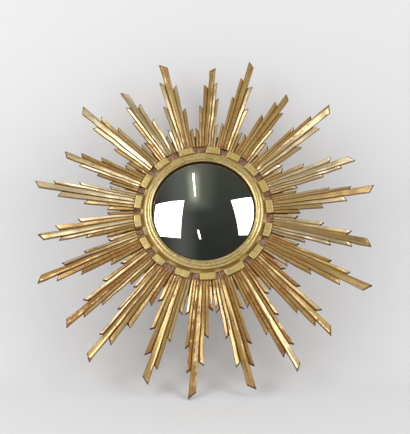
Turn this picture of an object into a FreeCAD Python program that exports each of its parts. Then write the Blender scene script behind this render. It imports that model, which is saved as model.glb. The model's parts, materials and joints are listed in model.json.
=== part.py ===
import FreeCAD, Part
import math
import os
import Sketcher

os.makedirs("parts", exist_ok=True)
doc = FreeCAD.newDocument("sunburst_mirror")

# Driving sizes in millimetres. Heights are measured from the wall towards the room.
sizes = {
    "sunRadius": 325.0,
    "glassRadius": 100.0,
    "glassThick": 3.0,
    "glassCurve": 240.0,
    "glassSeat": 6.0,
    "glassGap": 0.6,
    "lipCover": 5.0,
    "largeBead": 9.5,
    "largeBeadFoot": 11.0,
    "largeBeadRise": 2.8,
    "smallBead": 6.5,
    "smallBeadFoot": 7.5,
    "smallBeadRise": 2.0,
    "valleyHeight": 12.2,
    "gasketThick": 0.8,
    "discThick": 3.0,
    "packingDepth": 14.0,
    "packingWidth": 30.0,
    "boreStep": 0.4,
    "landWidth": 10.5,
    "landHeight": 6.0,
    "carrierThick": 12.0,
    "carrierRim": 26.0,
    "rayRootCrest": 12.5,
    "rayTipCrest": 7.5,
    "rayJoint": 0.12,
    "rayWeld": 0.15,
    "flangeThick": 4.0,
    "grooveWidth": 5.5,
    "blockDepth": 12.5,
    "blockHeight": 8.0,
    "blockWidth": 26.0,
    "seatMargin": 1.0,
    "boardThick": 8.0,
    "boardLap": 17.0,
    "screwRadius": 1.5,
    "screwHeadRadius": 3.2,
    "screwHeadDepth": 1.9,
    "screwHoleGap": 0.05,
    "screwBite": 8.0,
    "bezelScrewInset": 5.3,
    "boardScrewInset": 5.0,
    "hangerInset": 6.0,
    "hangerScrewSpread": 5.0,
    "strapThick": 1.2,
    "strapWidth": 14.0,
    "eyeLength": 4.5,
    "eyeGap": 0.55,
    "eyeWall": 1.15,
    "ringRadius": 11.0,
    "ringWire": 1.5,
    "touchGap": 0.02,
    "looseGap": 0.3,
    "overrun": 6.0,
}
counts = {"rayCount": 22, "blockCount": 17, "bezelScrewCount": 6,
          "boardScrewCount": 6, "packCount": 4}

sheet = doc.addObject("Spreadsheet::Sheet", "sizes")
for row, (name, value) in enumerate({**sizes, **counts}.items(), 1):
    sheet.set("A%d" % row, name)
    sheet.set("B%d" % row, repr(value))
    sheet.setAlias("B%d" % row, name)
doc.recompute()


# A length that knows its number and its spreadsheet expression.
class Dim:
    def __init__(self, value, text):
        self.value = value
        self.text = text

    def __add__(self, other):
        other = dim(other)
        return Dim(self.value + other.value, "(%s + %s)" % (self.text, other.text))

    def __sub__(self, other):
        other = dim(other)
        return Dim(self.value - other.value, "(%s - %s)" % (self.text, other.text))

    def __mul__(self, other):
        other = dim(other)
        return Dim(self.value * other.value, "(%s * %s)" % (self.text, other.text))

    def __truediv__(self, other):
        other = dim(other)
        return Dim(self.value / other.value, "(%s / %s)" % (self.text, other.text))

    def __neg__(self):
        return Dim(-self.value, "(-%s)" % self.text)

    __radd__ = __add__
    __rmul__ = __mul__


def dim(number):
    return number if isinstance(number, Dim) else Dim(float(number), "(%r)" % float(number))


def legOf(long, short):
    square = long * long - short * short
    return Dim(math.sqrt(square.value), "sqrt(%s)" % square.text)


def tanOf(degrees):
    degrees = dim(degrees)
    return Dim(math.tan(math.radians(degrees.value)), "tan(%s * 1 deg)" % degrees.text)


size = {name: Dim(value, "<<sizes>>." + name) for name, value in sizes.items()}
zero = Dim(0.0, "0")

# Radii, from the glass outwards.
rebateRadius = size["glassRadius"] + size["glassGap"]
sightRadius = size["glassRadius"] - size["lipCover"]
beadSplitRadius = sightRadius + size["largeBead"]
bezelRadius = beadSplitRadius + size["smallBead"]
carrierBore = rebateRadius + size["boreStep"]
landRadius = carrierBore + size["landWidth"]
flangeRadius = bezelRadius + size["grooveWidth"]
blockRadius = flangeRadius + size["blockDepth"]
seatRadius = blockRadius + size["seatMargin"]
carrierRadius = seatRadius + size["carrierRim"]
boardRadius = carrierBore + size["boardLap"]
bezelScrewCircle = carrierBore + size["bezelScrewInset"]
boardScrewCircle = boardRadius - size["boardScrewInset"]

# Levels above the wall, from the back board forwards.
carrierLevel = size["boardThick"]
rayLevel = carrierLevel + size["carrierThick"]
seatLevel = rayLevel + size["landHeight"]
bezelLevel = seatLevel + size["flangeThick"]
glassLevel = bezelLevel + size["glassSeat"]
glassCentre = glassLevel - legOf(size["glassCurve"], size["glassRadius"])


def glassFront(radius):
    return glassCentre + legOf(size["glassCurve"], radius)


backCurve = size["glassCurve"] - size["glassThick"]
glassBack = glassCentre + legOf(backCurve, size["glassRadius"])
discFront = glassBack - size["touchGap"]
discLevel = discFront - size["discThick"]
strapBack = carrierLevel - size["strapThick"]
eyeBore = size["ringWire"] + size["eyeGap"]
eyeRadius = eyeBore + size["eyeWall"]
eyeLevel = carrierLevel - size["strapThick"] / 2 - eyeRadius

# Heights of the hanger above the middle of the mirror.
hangerHeight = carrierRadius - size["hangerInset"]
ringCentre = hangerHeight - size["ringRadius"]

# Screw lengths: what a screw passes through, and its bite.
boardScrewLength = size["boardThick"] + size["screwBite"]
bezelScrewLength = bezelLevel - carrierLevel + size["screwBite"]
hangerScrewLength = size["strapThick"] + size["screwBite"]

upright = FreeCAD.Rotation(FreeCAD.Vector(1, 0, 0), 90)
made = []


def stand(item, heading=0.0):
    turn = FreeCAD.Rotation(FreeCAD.Vector(0, 0, 1), -heading)
    item.Placement = FreeCAD.Placement(FreeCAD.Vector(), upright * turn)
    made.append(item)


def bind(item, path, length):
    item.setExpression(path, length.text)


def datum(body, role):
    return next(f for f in body.Origin.OriginFeatures if f.Role == role)


def newBody(label):
    body = doc.addObject("PartDesign::Body", label)
    body.Label = label
    return body


# The radius of an arc that rises from the straight line between two points.
def bowRadius(start, end, rise):
    across, up = end[0] - start[0], end[1] - start[1]
    return (across * across + up * up) / (rise * 8) + rise / 2


# Draws a closed outline in an empty sketch. Sides named in bows bulge outwards by the given rise.
def draw(sketch, points, bows):
    corners = [FreeCAD.Vector(x.value, y.value, 0) for x, y in points]
    total = len(corners)
    radii = {side: bowRadius(points[side], points[(side + 1) % total], rise) for side, rise in bows.items()}
    for side in range(total):
        start, end = corners[side], corners[(side + 1) % total]
        if side in bows:
            inward = FreeCAD.Vector(start.y - end.y, end.x - start.x, 0).normalize()
            middle = (start + end) * 0.5 + inward * (radii[side].value - bows[side].value)
            circle = Part.Circle(middle, FreeCAD.Vector(0, 0, 1), radii[side].value)
            ends = [math.atan2(corner.y - middle.y, corner.x - middle.x) for corner in (start, end)]
            sketch.addGeometry(Part.ArcOfCircle(circle, *ends))
        else:
            sketch.addGeometry(Part.LineSegment(start, end))
    for side in range(total):
        sketch.addConstraint(Sketcher.Constraint("Coincident", side, 2, (side + 1) % total, 1))
    for side, radius in radii.items():
        held = sketch.addConstraint(Sketcher.Constraint("Radius", side, radius.value))
        bind(sketch, "Constraints[%d]" % held, radius)
    for side, place in enumerate(points):
        for kind, axis, step in zip(("DistanceX", "DistanceY"), (-2, -1), place):
            if step is zero:
                sketch.addConstraint(Sketcher.Constraint("PointOnObject", side, 1, axis))
            else:
                held = sketch.addConstraint(Sketcher.Constraint(kind, -1, 1, side, 1, step.value))
                bind(sketch, "Constraints[%d]" % held, step)


# A turned form, or a turned cut, round an upright axis that stands on a circle above the middle.
def turned(body, label, points, cut=False, bows={}, circle=zero):
    sketch = body.newObject("Sketcher::SketchObject", label + "_outline")
    sketch.AttachmentSupport = [(datum(body, "XZ_Plane"), "")]
    sketch.MapMode = "FlatFace"
    sketch.AttachmentOffset = FreeCAD.Placement(
        FreeCAD.Vector(0, 0, -circle.value), FreeCAD.Rotation()
    )
    if circle is not zero:
        bind(sketch, "AttachmentOffset.Base.z", -circle)
    draw(sketch, points, bows)
    kind = "PartDesign::Groove" if cut else "PartDesign::Revolution"
    feature = body.newObject(kind, label)
    feature.Profile = sketch
    feature.ReferenceAxis = (sketch, ["V_Axis"])
    feature.Angle = 360
    body.Tip = feature
    return feature


def around(body, feature, label, count):
    pattern = body.newObject("PartDesign::PolarPattern", label)
    pattern.Originals = [feature]
    pattern.Axis = (datum(body, "Z_Axis"), [""])
    pattern.Angle = 360
    pattern.Occurrences = counts[count]
    pattern.setExpression("Occurrences", "<<sizes>>." + count)
    body.Tip = pattern
    return pattern


def solid(kind, label, at=(zero, zero, zero), turn=None, **lengths):
    item = doc.addObject(kind, label)
    item.Placement = FreeCAD.Placement(
        FreeCAD.Vector(*[step.value for step in at]), turn or FreeCAD.Rotation()
    )
    for axis, step in zip("xyz", at):
        if step is not zero:
            bind(item, "Placement.Base." + axis, step)
    for path, length in lengths.items():
        bind(item, path, length)
    return item


def joined(kind, label, *items):
    item = doc.addObject(kind, label)
    if kind in ("Part::MultiFuse", "Part::MultiCommon"):
        item.Shapes = list(items)
    else:
        item.Base, item.Tool = items
    item.Refine = True
    return item


def rectangle(inner, outer, low, high):
    return [(inner, low), (outer, low), (outer, high), (inner, high)]


# Half of a countersunk screw whose head lies flush with a level, made larger by spare.
def screwOutline(level, length, spare):
    shank = size["screwRadius"] + spare
    head = size["screwHeadRadius"] + spare
    tip = level + length + spare
    return [
        (zero, level),
        (head, level),
        (shank, level + size["screwHeadDepth"] + spare),
        (shank, tip),
        (zero, tip),
    ]


# Ray bundles. Each row holds the lean of a bundle as a share of the bundle pitch, the side of the middle
# ray's point, and the reach of its seven rays, left to right, as shares of the way from seat to sun radius.
bundleShares = [
    (0.02, -1, (0.25, 0.50, 0.77, 0.97, 0.70, 0.43, 0.20)),
    (0.21, 1, (0.20, 0.45, 0.68, 0.87, 0.70, 0.53, 0.25)),
    (-0.07, -1, (0.27, 0.58, 0.80, 1.00, 0.75, 0.50, 0.23)),
    (0.07, -1, (0.23, 0.50, 0.70, 0.83, 0.63, 0.42, 0.27)),
    (-0.14, -1, (0.25, 0.58, 0.80, 1.02, 0.77, 0.50, 0.23)),
    (0.24, 1, (0.22, 0.43, 0.70, 0.90, 0.75, 0.55, 0.27)),
    (-0.18, -1, (0.25, 0.57, 0.78, 1.00, 0.72, 0.48, 0.25)),
    (0.12, 1, (0.23, 0.48, 0.75, 0.95, 0.77, 0.57, 0.33)),
    (-0.03, -1, (0.28, 0.62, 0.82, 1.05, 0.78, 0.50, 0.27)),
    (0.18, 1, (0.27, 0.48, 0.77, 0.98, 0.82, 0.62, 0.30)),
    (0.07, 1, (0.32, 0.53, 0.83, 1.05, 0.88, 0.63, 0.33)),
    (0.02, -1, (0.33, 0.65, 0.85, 1.05, 0.82, 0.55, 0.30)),
    (0.19, 1, (0.28, 0.53, 0.78, 1.07, 0.85, 0.63, 0.32)),
    (0.05, -1, (0.33, 0.60, 0.87, 1.02, 0.78, 0.55, 0.28)),
    (0.30, -1, (0.35, 0.63, 0.85, 1.08, 0.83, 0.55, 0.30)),
    (-0.08, -1, (0.30, 0.62, 0.82, 1.00, 0.73, 0.48, 0.25)),
    (0.03, -1, (0.33, 0.62, 0.85, 1.02, 0.75, 0.52, 0.27)),
    (-0.22, 1, (0.27, 0.47, 0.72, 0.92, 0.75, 0.53, 0.25)),
    (0.09, 1, (0.25, 0.48, 0.75, 1.00, 0.82, 0.57, 0.27)),
    (-0.22, 1, (0.28, 0.43, 0.63, 0.83, 0.68, 0.48, 0.23)),
    (-0.06, 1, (0.23, 0.42, 0.73, 0.97, 0.75, 0.55, 0.25)),
    (-0.12, -1, (0.25, 0.50, 0.67, 0.83, 0.63, 0.42, 0.20)),
]
# Where the edges of the rays start, as shares of the half pitch at the root, and how far each edge turns
# away from the bundle's axis, as shares of the half pitch angle. The fifth is the middle ray's ridge.
rootEdgeShares = (-1.0, -5 / 7, -3 / 7, -1 / 7, 0.0, 1 / 7, 3 / 7, 5 / 7, 1.0)
fanShares = (-0.75, -0.47, -0.31, -0.14, 0.0, 0.14, 0.31, 0.47, 0.75)
ridgeEdge = 4
ridgeShare = 0.4
crestShares = (0.82, 0.88, 0.94, 1.00, 1.00, 0.94, 0.88, 0.82)
tiltShare = 0.18
grooveShare = 0.3
grooveTiltShare = 1.1
slantShare = 0.8
firstTurnShare = -0.915

bundleTotal = counts["rayCount"]
pitch = 360.0 / bundleTotal
halfPitch = pitch / 2
rootRadius = landRadius + size["touchGap"]
facetSpread = size["sunRadius"] * tanOf(pitch)
rootStart = rootRadius - size["overrun"]
crestFall = (size["rayRootCrest"] - size["rayTipCrest"]) / (size["sunRadius"] - rootStart)


def bundleHeading(index):
    return pitch * (index + firstTurnShare)


# The ridge of a middle ray lies nearer to the side of its point.
def edgeShare(shares, index, edge):
    if edge == ridgeEdge:
        return shares[ridgeEdge + 1] * ridgeShare * bundleShares[index][1]
    return shares[edge]


# Turn of an edge from the bundle's axis. The outer edges lean halfway to the neighbours.
def edgeTurn(index, edge):
    own = bundleShares[index][0]
    across = edgeShare(rootEdgeShares, index, edge)
    step = 1 if across > 0 else -1
    other = bundleShares[(index + step) % bundleTotal][0]
    lean = own + (other - own) * abs(across) / 2
    return edgeShare(fanShares, index, edge) * halfPitch + lean * pitch


# Gives the sideways place of an edge at any distance from the mirror's middle.
def edgePlace(index, edge, inset=zero):
    start = rootStart * tanOf(halfPitch) * edgeShare(rootEdgeShares, index, edge) + inset
    slope = tanOf(edgeTurn(index, edge))
    return lambda reach: start + (reach - rootStart) * slope


lengthwise = FreeCAD.Rotation(FreeCAD.Vector(1, 1, 1), 120)


# A free sketch and the prism pushed out of it both ways along a direction.
def extruded(label, points, place, turn, direction, forward, back):
    sketch = doc.addObject("Sketcher::SketchObject", label + "_outline")
    sketch.Placement = FreeCAD.Placement(FreeCAD.Vector(*[step.value for step in place]), turn)
    for axis, step in zip("xyz", place):
        if step is not zero:
            bind(sketch, "Placement.Base." + axis, step)
    draw(sketch, points, {})
    prism = doc.addObject("Part::Extrusion", label)
    prism.Base = sketch
    prism.DirMode = "Custom"
    prism.Dir = direction
    prism.Solid = True
    bind(prism, "LengthFwd", forward)
    if back is not zero:
        bind(prism, "LengthRev", back)
    return prism


# A block under a plane that falls sideways from a line along the crest of a ray.
def planed(label, line, crestShare, fallShare):
    end = size["sunRadius"] + facetSpread

    def height(reach):
        crest = (size["rayRootCrest"] - crestFall * (reach - rootStart)) * crestShare
        return facetSpread + rayLevel + crest + line(reach) * fallShare

    return extruded(
        label,
        [(rootStart, zero), (end, zero), (end, height(end)), (rootStart, height(rootStart))],
        (zero, zero, -facetSpread),
        lengthwise,
        FreeCAD.Vector(1, 0, -fallShare),
        facetSpread,
        facetSpread,
    )


# One carved strip: a plan outline cut off aslant at the tip, planed to fall outwards from its crest and,
# where a groove parts it from the strip before it, to fall steeply inwards too.
def strip(label, left, right, reaches, crestShare, lowSide, grooved):
    datumShift = size["sunRadius"]
    leftReach, rightReach = reaches
    plan = extruded(
        label + "_plan",
        [
            (left(rootStart) + datumShift, rootStart),
            (right(rootStart) + datumShift, rootStart),
            (right(rightReach) + datumShift, rightReach),
            (left(leftReach) + datumShift, leftReach),
        ],
        (-datumShift, zero, rayLevel),
        FreeCAD.Rotation(),
        FreeCAD.Vector(0, 0, 1),
        size["rayRootCrest"],
        zero,
    )
    inner, outer = (left, right) if lowSide > 0 else (right, left)
    if not grooved:
        return joined(
            "Part::Common", label, plan, planed(label + "_top", inner, crestShare, lowSide * tiltShare)
        )

    def crestLine(reach):
        return inner(reach) + (outer(reach) - inner(reach)) * grooveShare

    top = planed(label + "_top", crestLine, crestShare, lowSide * tiltShare)
    groove = planed(label + "_groove", crestLine, crestShare, -lowSide * grooveTiltShare)
    return joined("Part::MultiCommon", label, plan, top, groove)


seatCutter = newBody("seat_cutter")
turned(
    seatCutter,
    "seat_turning",
    [
        (rootStart - size["overrun"], rayLevel - size["overrun"]),
        (rootRadius, rayLevel - size["overrun"]),
        (rootRadius, seatLevel),
        (seatRadius, seatLevel),
        (seatRadius, seatLevel + size["rayRootCrest"]),
        (rootStart - size["overrun"], seatLevel + size["rayRootCrest"]),
    ],
)

for index, (lean, side, reachShares) in enumerate(bundleShares):
    name = "ray_bundle_%02d" % (index + 1)
    strips = []
    for number, crestShare in enumerate(crestShares):
        leftOfRidge = number < ridgeEdge
        middle = number in (ridgeEdge - 1, ridgeEdge)
        leftInset = -size["rayWeld"]
        rightInset = size["rayWeld"]
        if number == 0:
            leftInset = size["rayJoint"]
        if number == len(crestShares) - 1:
            rightInset = -size["rayJoint"]
        left = edgePlace(index, number, zero if number == ridgeEdge else leftInset)
        right = edgePlace(index, number + 1, zero if number + 1 == ridgeEdge else rightInset)
        pointLeft = side < 0 if middle else leftOfRidge
        point = left if pointLeft else right
        if middle:
            point = edgePlace(index, ridgeEdge + side)
        reachShare = reachShares[number if leftOfRidge else number - 1]
        reach = seatRadius + (size["sunRadius"] - seatRadius) * reachShare
        slant = slantShare if pointLeft else -slantShare
        reaches = [reach - (edge(reach) - point(reach)) * slant for edge in (left, right)]
        label = "%s_strip_%d" % (name, number + 1)
        strips.append(strip(label, left, right, reaches, crestShare, -1 if leftOfRidge else 1, not middle))
    carved = joined("Part::MultiFuse", name + "_carved", *strips)
    stand(joined("Part::Cut", name, carved, seatCutter), bundleHeading(index))

carrier = newBody("carrier_ring")
turned(
    carrier,
    "carrier_turning",
    [
        (carrierBore, carrierLevel),
        (carrierRadius, carrierLevel),
        (carrierRadius, rayLevel),
        (landRadius, rayLevel),
        (landRadius, seatLevel),
        (carrierBore, seatLevel),
    ],
)
bezelSinks = turned(
    carrier,
    "bezel_screw_hole",
    screwOutline(carrierLevel, bezelScrewLength, size["screwHoleGap"]),
    cut=True,
    circle=bezelScrewCircle,
)
around(carrier, bezelSinks, "bezel_screw_holes", "bezelScrewCount")
boardPilots = turned(
    carrier,
    "board_screw_pilot",
    screwOutline(zero, boardScrewLength, size["screwHoleGap"]),
    cut=True,
    circle=boardScrewCircle,
)
around(carrier, boardPilots, "board_screw_pilots", "boardScrewCount")
hangerScrewPlaces = (
    ("upper", ringCentre + size["hangerScrewSpread"]),
    ("lower", ringCentre - size["hangerScrewSpread"]),
)
for mark, place in hangerScrewPlaces:
    turned(
        carrier,
        "hanger_screw_pilot_" + mark,
        screwOutline(strapBack, hangerScrewLength, size["screwHoleGap"]),
        cut=True,
        circle=place,
    )
stand(carrier)

bezel = newBody("bezel_ring")
lip = size["gasketThick"] + size["touchGap"] + size["touchGap"]
turned(
    bezel,
    "bezel_turning",
    [
        (rebateRadius, bezelLevel),
        (bezelRadius, bezelLevel),
        (bezelRadius, bezelLevel + size["smallBeadFoot"]),
        (beadSplitRadius, bezelLevel + size["valleyHeight"]),
        (sightRadius, bezelLevel + size["largeBeadFoot"]),
        (sightRadius, glassFront(sightRadius) + lip),
        (rebateRadius, glassFront(rebateRadius) + lip),
    ],
    bows={2: size["smallBeadRise"], 3: size["largeBeadRise"]},
)
bezelPilots = turned(
    bezel,
    "bezel_screw_pilot",
    screwOutline(carrierLevel, bezelScrewLength, size["screwHoleGap"]),
    cut=True,
    circle=bezelScrewCircle,
)
around(bezel, bezelPilots, "bezel_screw_pilots", "bezelScrewCount")
stand(bezel)

gasket = newBody("seat_gasket")
gasketInner = sightRadius + size["looseGap"]
gasketOuter = rebateRadius - size["looseGap"]
turned(
    gasket,
    "gasket_washer",
    [
        (gasketInner, glassFront(gasketInner) + size["touchGap"]),
        (gasketOuter, glassFront(gasketOuter) + size["touchGap"]),
        (gasketOuter, glassFront(gasketOuter) + size["touchGap"] + size["gasketThick"]),
        (gasketInner, glassFront(gasketInner) + size["touchGap"] + size["gasketThick"]),
    ],
)
stand(gasket)

disc = newBody("backing_disc")
discRadius = rebateRadius - size["looseGap"]
turned(disc, "disc_turning", rectangle(zero, discRadius, discLevel, discFront))
stand(disc)

board = newBody("back_board")
turned(board, "board_turning", rectangle(zero, boardRadius, zero, carrierLevel))
boardSinks = turned(
    board,
    "board_screw_hole",
    screwOutline(zero, boardScrewLength, size["screwHoleGap"]),
    cut=True,
    circle=boardScrewCircle,
)
around(board, boardSinks, "board_screw_holes", "boardScrewCount")
stand(board)

for label, level, length, circle, count in (
    ("bezel_screws", carrierLevel, bezelScrewLength, bezelScrewCircle, "bezelScrewCount"),
    ("board_screws", zero, boardScrewLength, boardScrewCircle, "boardScrewCount"),
):
    body = newBody(label)
    body.AllowCompound = True
    screw = turned(
        body,
        label + "_one",
        screwOutline(level, length, zero),
        circle=circle,
    )
    around(body, screw, label + "_all", count)
    stand(body)

hangerScrews = newBody("hanger_screws")
strapDrills = newBody("strap_drills")
for body, gap in ((hangerScrews, zero), (strapDrills, size["screwHoleGap"])):
    body.AllowCompound = True
    for mark, place in hangerScrewPlaces:
        outlined = screwOutline(strapBack, hangerScrewLength, gap)
        turned(body, "%s_%s" % (body.Label, mark), outlined, circle=place)
stand(hangerScrews)

# The collar: a flange with blocks of uneven width at uneven places round it.
blockTurnShares = (
    0.17, 0.06, 0.0, -0.11, -0.20, -0.20, -0.15, -0.01, 0.11,
    0.14, 0.22, 0.12, 0.11, -0.06, -0.10, -0.12, 0.03,
)
blockWidthShares = (
    1.0, 0.96, 1.04, 0.92, 0.95, 1.0, 1.08, 1.42, 1.08,
    1.02, 0.92, 0.88, 0.9, 0.95, 1.04, 1.08, 1.05,
)
firstBlockTurnShare = 0.23
blockPitch = 360.0 / counts["blockCount"]
bars = []
for index, (turnShare, widthShare) in enumerate(zip(blockTurnShares, blockWidthShares)):
    heading = math.radians(blockPitch * (index + turnShare + firstBlockTurnShare))
    width = size["blockWidth"] * widthShare
    half = width / 2
    start = flangeRadius - size["overrun"]
    bars.append(
        solid(
            "Part::Box",
            "collar_bar_%02d" % (index + 1),
            (
                start * math.sin(heading) - half * math.cos(heading),
                start * math.cos(heading) + half * math.sin(heading),
                seatLevel,
            ),
            FreeCAD.Rotation(FreeCAD.Vector(0, 0, 1), -math.degrees(heading)),
            Length=width,
            Width=blockRadius - start + size["overrun"],
            Height=size["blockHeight"],
        )
    )
foot = (zero, zero, seatLevel)
below = (zero, zero, seatLevel - size["overrun"])
spare = size["overrun"] + size["overrun"]
blockDisc = solid(
    "Part::Cylinder", "collar_block_disc", foot,
    Radius=blockRadius, Height=size["blockHeight"],
)
blockHole = solid(
    "Part::Cylinder", "collar_block_hole", below,
    Radius=flangeRadius - size["touchGap"], Height=size["blockHeight"] + spare,
)
blockTube = joined("Part::Cut", "collar_block_tube", blockDisc, blockHole)
blocks = joined("Part::Common", "collar_blocks", joined("Part::MultiFuse", "collar_bars", *bars), blockTube)
flangeDisc = solid(
    "Part::Cylinder", "collar_flange_disc", foot,
    Radius=flangeRadius, Height=size["flangeThick"],
)
whole = joined("Part::MultiFuse", "collar_whole", flangeDisc, blocks)
bore = solid(
    "Part::Cylinder", "collar_bore", below,
    Radius=carrierBore, Height=size["blockHeight"] + spare,
)
collarHoles = newBody("collar_screw_holes")
collarHoles.AllowCompound = True
drill = turned(
    collarHoles,
    "collar_drill",
    screwOutline(carrierLevel, bezelScrewLength, size["screwHoleGap"]),
    circle=bezelScrewCircle,
)
around(collarHoles, drill, "collar_drills", "bezelScrewCount")
ring = joined("Part::Cut", "collar_ring", whole, bore)
collar = joined("Part::Cut", "dentil_collar", ring, collarHoles)
stand(collar)

# The glass: a slice of a hollow ball.
ball = solid("Part::Sphere", "glass_ball", (zero, zero, glassCentre), Radius=size["glassCurve"])
hollow = solid("Part::Sphere", "glass_hollow", (zero, zero, glassCentre), Radius=backCurve)
shell = joined("Part::Cut", "glass_shell", ball, hollow)
glassEdge = solid(
    "Part::Cylinder", "glass_edge", (zero, zero, carrierLevel),
    Radius=size["glassRadius"], Height=size["glassCurve"],
)
glass = joined("Part::Common", "convex_mirror", shell, glassEdge)
stand(glass)

# Packing: blocks between the backing disc and the back board, inside the carrier.
halfPack = size["packingWidth"] / 2
packReach = carrierBore - size["looseGap"]
packCircle = legOf(packReach, halfPack) - size["packingDepth"]
packs = []
for index in range(counts["packCount"]):
    heading = 2 * math.pi * index / counts["packCount"]
    packs.append(
        solid(
            "Part::Box",
            "packing_block_%d" % (index + 1),
            (
                packCircle * math.sin(heading) - halfPack * math.cos(heading),
                packCircle * math.cos(heading) + halfPack * math.sin(heading),
                carrierLevel,
            ),
            FreeCAD.Rotation(FreeCAD.Vector(0, 0, 1), -math.degrees(heading)),
            Length=size["packingWidth"],
            Width=size["packingDepth"],
            Height=discLevel - carrierLevel,
        )
    )
stand(joined("Part::MultiFuse", "packing_blocks", *packs))

# The hanger: a plate with a rolled eye and a ring hanging in it.
halfStrap = size["strapWidth"] / 2
plateFoot = ringCentre - size["hangerScrewSpread"]
plate = solid(
    "Part::Box", "strap_plate", (-halfStrap, plateFoot, strapBack),
    Length=size["strapWidth"], Width=hangerHeight - plateFoot + size["ringWire"],
    Height=size["strapThick"],
)
toe = solid(
    "Part::Cylinder", "strap_toe", (zero, plateFoot, strapBack),
    Radius=halfStrap, Height=size["strapThick"],
)
sideways = FreeCAD.Rotation(FreeCAD.Vector(0, 1, 0), 90)
halfEye = size["eyeLength"] / 2
eyeRoll = solid(
    "Part::Cylinder", "strap_eye", (-halfEye, hangerHeight, eyeLevel), sideways,
    Radius=eyeRadius, Height=size["eyeLength"],
)
eyeHole = solid(
    "Part::Cylinder", "strap_eye_bore",
    (-halfStrap, hangerHeight, eyeLevel), sideways,
    Radius=eyeBore, Height=size["strapWidth"],
)
blank = joined("Part::MultiFuse", "strap_blank", plate, toe, eyeRoll)
strapHoles = joined("Part::MultiFuse", "strap_holes", eyeHole, strapDrills)
stand(joined("Part::Cut", "hanger_strap", blank, strapHoles))

hangerRing = newBody("hanger_ring")
corner = size["ringWire"]
flat = corner * math.tan(math.pi / 8)
octagon = [(corner, -flat), (corner, flat), (flat, corner), (-flat, corner),
           (-corner, flat), (-corner, -flat), (-flat, -corner), (flat, -corner)]
turned(
    hangerRing,
    "ring_turning",
    [(size["ringRadius"] + out, eyeLevel + up) for out, up in octagon],
    circle=ringCentre,
)
stand(hangerRing)

doc.recompute()
bad = [item.Label for item in doc.Objects if "Invalid" in item.State or "Error" in item.State]
for item in made:
    shape = item.Shape
    if shape.isNull() or not shape.isValid() or not shape.Solids:
        bad.append(item.Label)
if bad:
    raise SystemExit("failed: " + ", ".join(bad))
for item in made:
    item.Shape.exportStep("parts/%s.step" % item.Label)
print("exported", len(made))
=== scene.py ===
import json
import math
import random

import bmesh
import bpy
from mathutils import Matrix, Vector, noise


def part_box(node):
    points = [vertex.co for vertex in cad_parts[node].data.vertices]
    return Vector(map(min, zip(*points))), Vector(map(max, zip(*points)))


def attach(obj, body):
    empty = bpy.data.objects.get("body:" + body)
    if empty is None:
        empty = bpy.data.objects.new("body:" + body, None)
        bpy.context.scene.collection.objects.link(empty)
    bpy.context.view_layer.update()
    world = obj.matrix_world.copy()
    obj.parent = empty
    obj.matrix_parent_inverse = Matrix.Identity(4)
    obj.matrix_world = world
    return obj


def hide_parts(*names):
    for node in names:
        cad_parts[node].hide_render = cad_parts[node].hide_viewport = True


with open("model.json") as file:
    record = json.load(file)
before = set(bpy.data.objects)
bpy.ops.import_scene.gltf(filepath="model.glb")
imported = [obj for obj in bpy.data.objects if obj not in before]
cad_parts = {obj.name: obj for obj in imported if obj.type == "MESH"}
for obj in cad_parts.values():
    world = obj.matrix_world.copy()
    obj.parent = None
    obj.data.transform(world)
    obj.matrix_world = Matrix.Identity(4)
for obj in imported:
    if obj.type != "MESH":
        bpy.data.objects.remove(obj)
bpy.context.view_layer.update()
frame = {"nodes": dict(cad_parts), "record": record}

# Lengths are in metres. The mirror faces -y, and z is up the wall.
scene = bpy.context.scene
scene.view_settings.view_transform = "Standard"
nodes = frame["nodes"]
bundleNames = sorted(name for name in nodes if name.startswith("ray_bundle_"))
print("frame loaded:", len(nodes), "nodes")


# Shader sums are written as plain expressions on wires.
class Wire:
    def __init__(self, finish, socket):
        self.finish = finish
        self.socket = socket

    def maths(self, operation, first, second):
        return self.finish.add("ShaderNodeMath", {"operation": operation}, {0: first, 1: second})

    def __add__(self, other):
        return self.maths("ADD", self, other)

    def __sub__(self, other):
        return self.maths("SUBTRACT", self, other)

    def __rsub__(self, other):
        return self.maths("SUBTRACT", other, self)

    def __mul__(self, other):
        return self.maths("MULTIPLY", self, other)

    def __pow__(self, other):
        return self.maths("POWER", self, other)

    def __or__(self, other):    # the greater of the two
        return self.maths("MAXIMUM", self, other)

    def __and__(self, other):   # the lesser of the two
        return self.maths("MINIMUM", self, other)

    def __abs__(self):
        return self.maths("ABSOLUTE", self, 0.0)

    __radd__ = __add__
    __rmul__ = __mul__


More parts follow.
